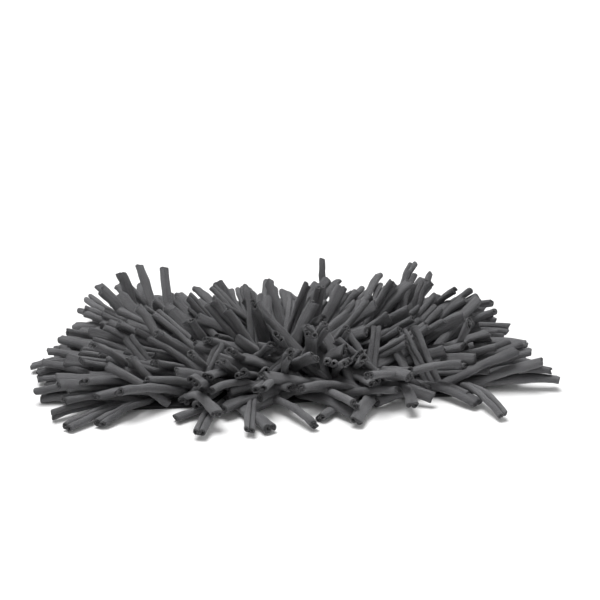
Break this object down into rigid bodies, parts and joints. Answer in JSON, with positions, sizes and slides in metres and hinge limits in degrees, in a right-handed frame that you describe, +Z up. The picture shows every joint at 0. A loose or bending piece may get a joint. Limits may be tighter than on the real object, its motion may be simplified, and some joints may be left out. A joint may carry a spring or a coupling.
{
  "type": "snuffle mat",
  "caption": "Rectangular snuffle mat: a flat woven base sheet covered in thick knit fabric strips that fan out over its edges and hide dry treats for a pet to sniff out",
  "frame": {"origin": "middle of the base sheet's flat underside, on the floor", "axes": "+X along the base's long side, +Y across it away from the front edge, +Z up out of the floor"},
  "size_m": [0.6493, 0.496, 0.1084],
  "materials": {
    "base_woven": "matte black coarse weave",
    "strip_knit": "matte charcoal soft knit"
  },
  "bodies": {
    "root": {"base_sheet": "base_woven", "course1_front": "strip_knit", "course1_back": "strip_knit", "course1_left": "strip_knit", "course1_right": "strip_knit", "course2_front": "strip_knit", "course2_back": "strip_knit", "course2_left": "strip_knit", "course2_right": "strip_knit", "course3_front": "strip_knit", "course3_back": "strip_knit"}
  },
  "joints": []
}
